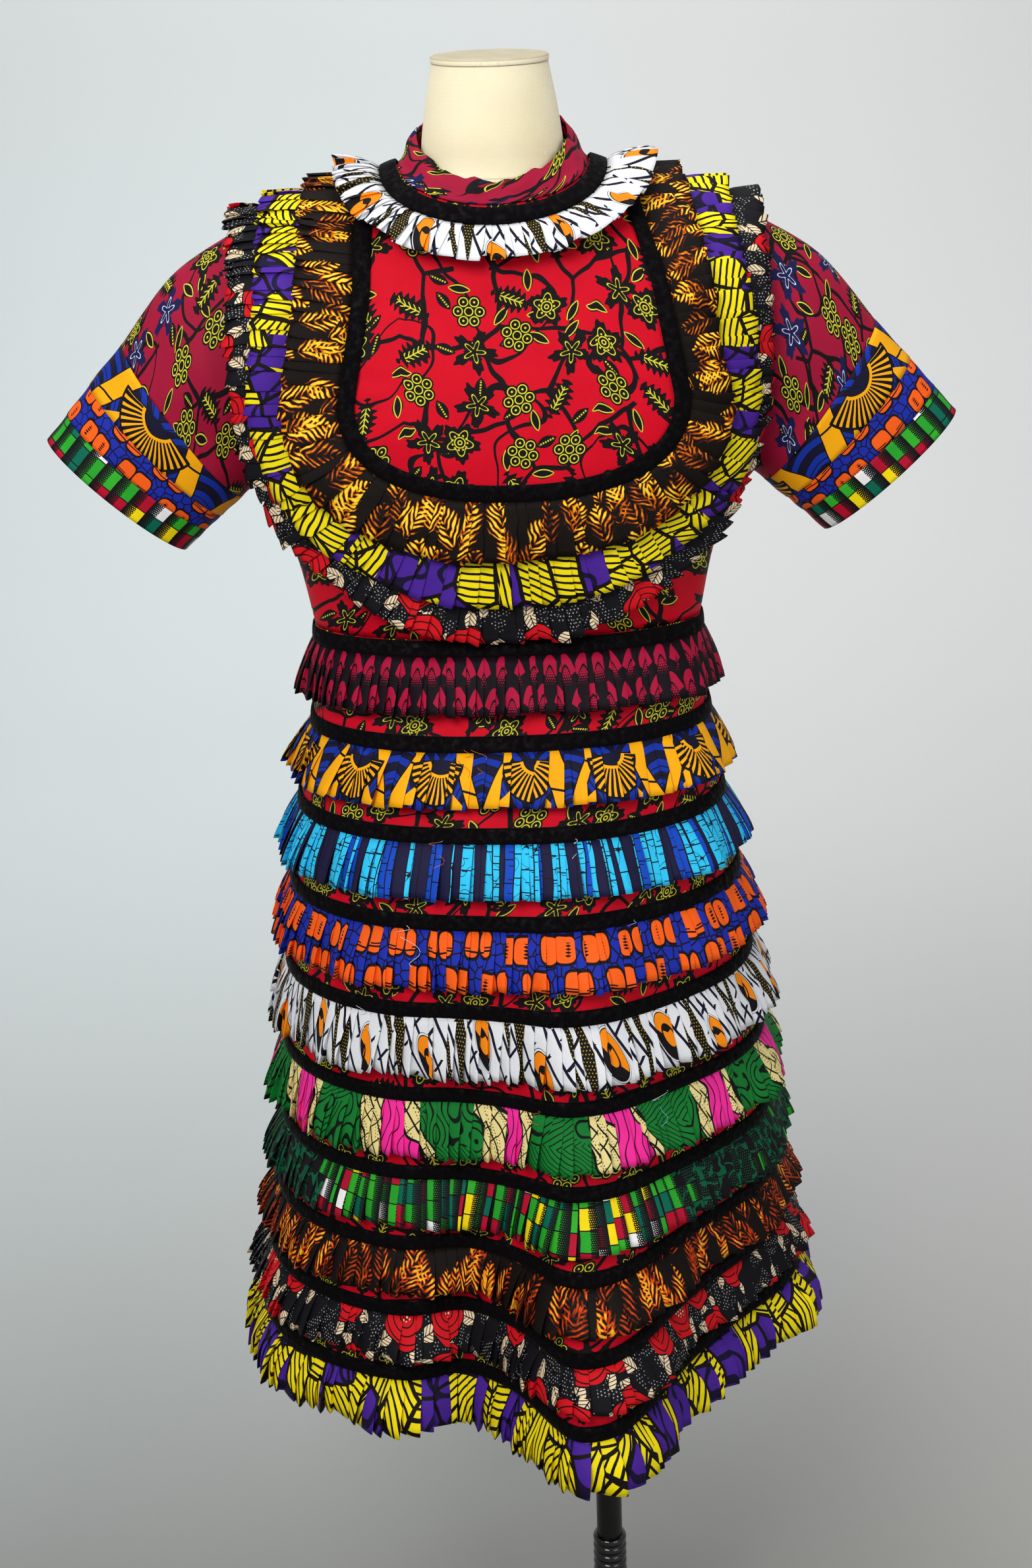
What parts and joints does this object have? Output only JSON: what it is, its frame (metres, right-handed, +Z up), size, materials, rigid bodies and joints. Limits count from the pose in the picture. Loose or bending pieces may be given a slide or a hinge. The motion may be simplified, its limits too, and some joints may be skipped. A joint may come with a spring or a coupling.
{
  "type": "wax print ruffle dress on a dress form with stand",
  "caption": "Short wax print cotton dress with pleated ruffle tiers, ruffled yoke, velvet ribbons and wide sleeves, on a limbless jersey form with a pole stand.",
  "frame": {"origin": "on the floor under the dress's middle plane, level with the pole from front to back; the underside of the stand's base lies in the plane z = 0", "axes": "+Z up, the dress's front faces -Y, +X to the right of someone who looks at its front"},
  "size_m": [0.776, 0.5558, 1.6056],
  "materials": {
    "red_vine_cotton": "waxed cotton, red with black vines",
    "branch_cotton": "waxed cotton, white with dark branches",
    "flame_cotton": "waxed cotton, black with orange flames",
    "sun_cotton": "waxed cotton, yellow and violet",
    "rose_cotton": "waxed cotton, black with roses and white dots",
    "arch_cotton": "waxed cotton, black and maroon arches",
    "fan_cotton": "waxed cotton, blue fans with yellow",
    "cane_cotton": "waxed cotton, blue upright stripes",
    "barrel_cotton": "waxed cotton, blue crackle with orange",
    "leaf_cotton": "waxed cotton, green leaves and pink petals",
    "block_cotton": "waxed cotton, bright blocks on black",
    "velvet_ribbon": "black velvet pile",
    "form_jersey": "cream jersey",
    "cap_cloth": "grey cream cloth",
    "satin_tube": "satin black",
    "gloss_collar": "gloss black",
    "base_metal": "satin black"
  },
  "bodies": {
    "root": {"bodice_back_left": "red_vine_cotton", "bodice_back_right": "red_vine_cotton", "bodice_front": "red_vine_cotton", "cuff_left": "block_cotton", "cuff_right": "block_cotton", "form_body": "form_jersey", "form_neck_cap": "cap_cloth", "neck_band": "red_vine_cotton", "neck_ribbon": "velvet_ribbon", "neck_ruffle": "branch_cotton", "skirt_back": "red_vine_cotton", "skirt_front": "red_vine_cotton", "sleeve_band_left": "fan_cotton", "sleeve_band_right": "fan_cotton", "sleeve_edge_band_left": "barrel_cotton", "sleeve_edge_band_right": "barrel_cotton", "sleeve_left": "red_vine_cotton", "sleeve_right": "red_vine_cotton", "stand_base": "base_metal", "stand_pole": "satin_tube", "stand_sleeve": "gloss_collar", "tier_ribbon_01": "velvet_ribbon", "tier_ribbon_02": "velvet_ribbon", "tier_ribbon_03": "velvet_ribbon", "tier_ribbon_04": "velvet_ribbon", "tier_ribbon_05": "velvet_ribbon", "tier_ribbon_06": "velvet_ribbon", "tier_ribbon_07": "velvet_ribbon", "tier_ribbon_08": "velvet_ribbon", "tier_ribbon_09": "velvet_ribbon", "tier_ribbon_10": "velvet_ribbon", "tier_ruffle_01": "arch_cotton", "tier_ruffle_02": "fan_cotton", "tier_ruffle_03": "cane_cotton", "tier_ruffle_04": "barrel_cotton", "tier_ruffle_05": "branch_cotton", "tier_ruffle_06": "leaf_cotton", "tier_ruffle_07": "block_cotton", "tier_ruffle_08": "flame_cotton", "tier_ruffle_09": "rose_cotton", "tier_ruffle_10": "sun_cotton", "yoke_ribbon": "velvet_ribbon", "yoke_ruffle_flame": "flame_cotton", "yoke_ruffle_rose": "rose_cotton", "yoke_ruffle_violet": "sun_cotton"}
  },
  "joints": []
}
